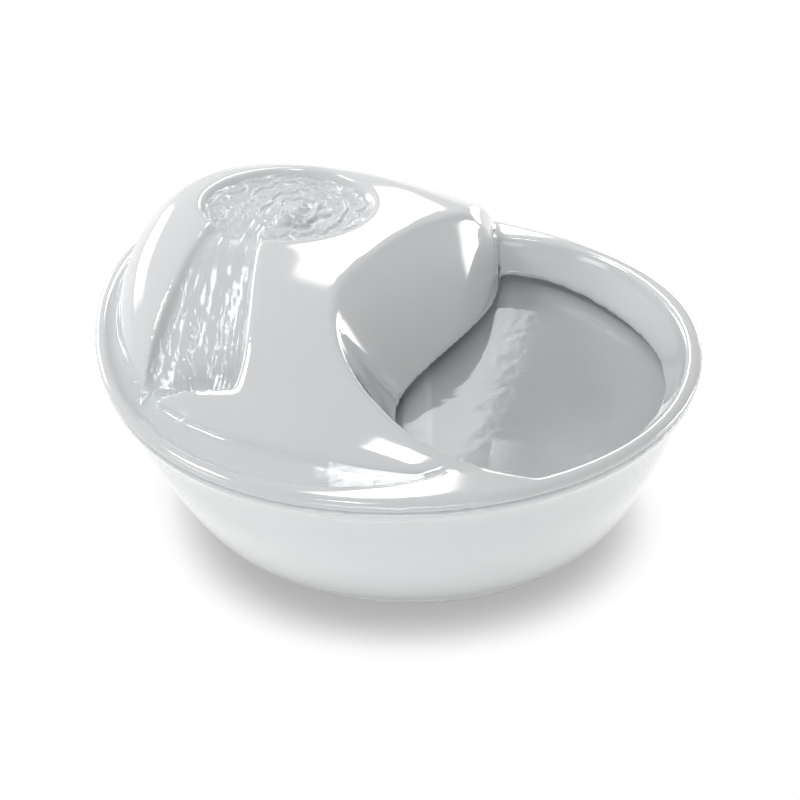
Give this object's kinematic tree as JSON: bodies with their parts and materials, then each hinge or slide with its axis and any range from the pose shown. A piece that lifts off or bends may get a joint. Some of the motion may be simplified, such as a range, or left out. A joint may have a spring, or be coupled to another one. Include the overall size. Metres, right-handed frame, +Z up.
{
  "type": "pet drinking fountain",
  "caption": "Glazed ceramic pet drinking fountain: round bowl with a lift-off domed cover, top dish, water chute, drinking hole, and pump and filter inside.",
  "frame": {"origin": "centre of the rim's box, on the surface that the foot stands on", "axes": "+Z up; +X along the rim's longest extent, towards the drinking hole; +Y towards the back of the dome"},
  "size_m": [0.2723, 0.2524, 0.14],
  "materials": {
    "glaze": "glossy white glaze",
    "pump_plastic": "black moulded plastic",
    "regulator_plastic": "grey moulded plastic",
    "core_steel": "laminated steel",
    "bobbin_plastic": "natural nylon",
    "copper_wire": "enamelled copper wire",
    "epoxy": "black epoxy resin",
    "black_rubber": "black rubber",
    "ferrite": "sintered ferrite",
    "impeller_plastic": "white acetal",
    "alumina": "ground alumina",
    "clear_rubber": "translucent rubber",
    "silicone": "translucent silicone",
    "holder_plastic": "white moulded plastic",
    "frame_plastic": "pale blue-white plastic",
    "fleece": "white polyester fleece",
    "carbon": "black carbon granules"
  },
  "bodies": {
    "bowl": {"bowl": "glaze", "pump_casing": "pump_plastic", "volute": "pump_plastic", "stator_core": "core_steel", "coil_bobbin": "bobbin_plastic", "coil_winding": "copper_wire", "pump_potting": "epoxy", "cord_grommet": "black_rubber", "rotor_shaft": "alumina", "rear_bush": "black_rubber", "front_bush": "black_rubber", "volute_seal": "black_rubber", "suction_cup_1": "clear_rubber", "suction_cup_2": "clear_rubber", "suction_cup_3": "clear_rubber", "suction_cup_4": "clear_rubber", "outlet_tube": "silicone", "filter_holder": "holder_plastic"},
    "cover": {"cover": "glaze"},
    "rotor": {"rotor_magnet": "ferrite", "impeller": "impeller_plastic"},
    "intake": {"intake_cap": "pump_plastic"},
    "regulator": {"flow_regulator": "regulator_plastic"},
    "cartridge": {"filter_frame": "frame_plastic", "filter_fleece_left": "fleece", "filter_fleece_right": "fleece", "carbon_bed": "carbon"}
  },
  "joints": [
    {"name": "cover_lift", "type": "slide", "parent": "bowl", "child": "cover", "axis": [0, 0, 1], "range_m": [0, 0.15]},
    {"name": "rotor_spin", "type": "hinge", "parent": "bowl", "child": "rotor", "pos_m": [-0.03, 0.046, 0.033], "axis": [1, 0, 0], "continuous": true},
    {"name": "intake_pull", "type": "slide", "parent": "bowl", "child": "intake", "axis": [-1, 0, 0], "range_m": [0, 0.012]},
    {"name": "regulator_slide", "type": "slide", "parent": "intake", "child": "regulator", "axis": [0, -1, 0], "range_m": [0, 0.008]},
    {"name": "cartridge_lift", "type": "slide", "parent": "bowl", "child": "cartridge", "axis": [0, 0, 1], "range_m": [0, 0.012]}
  ]
}
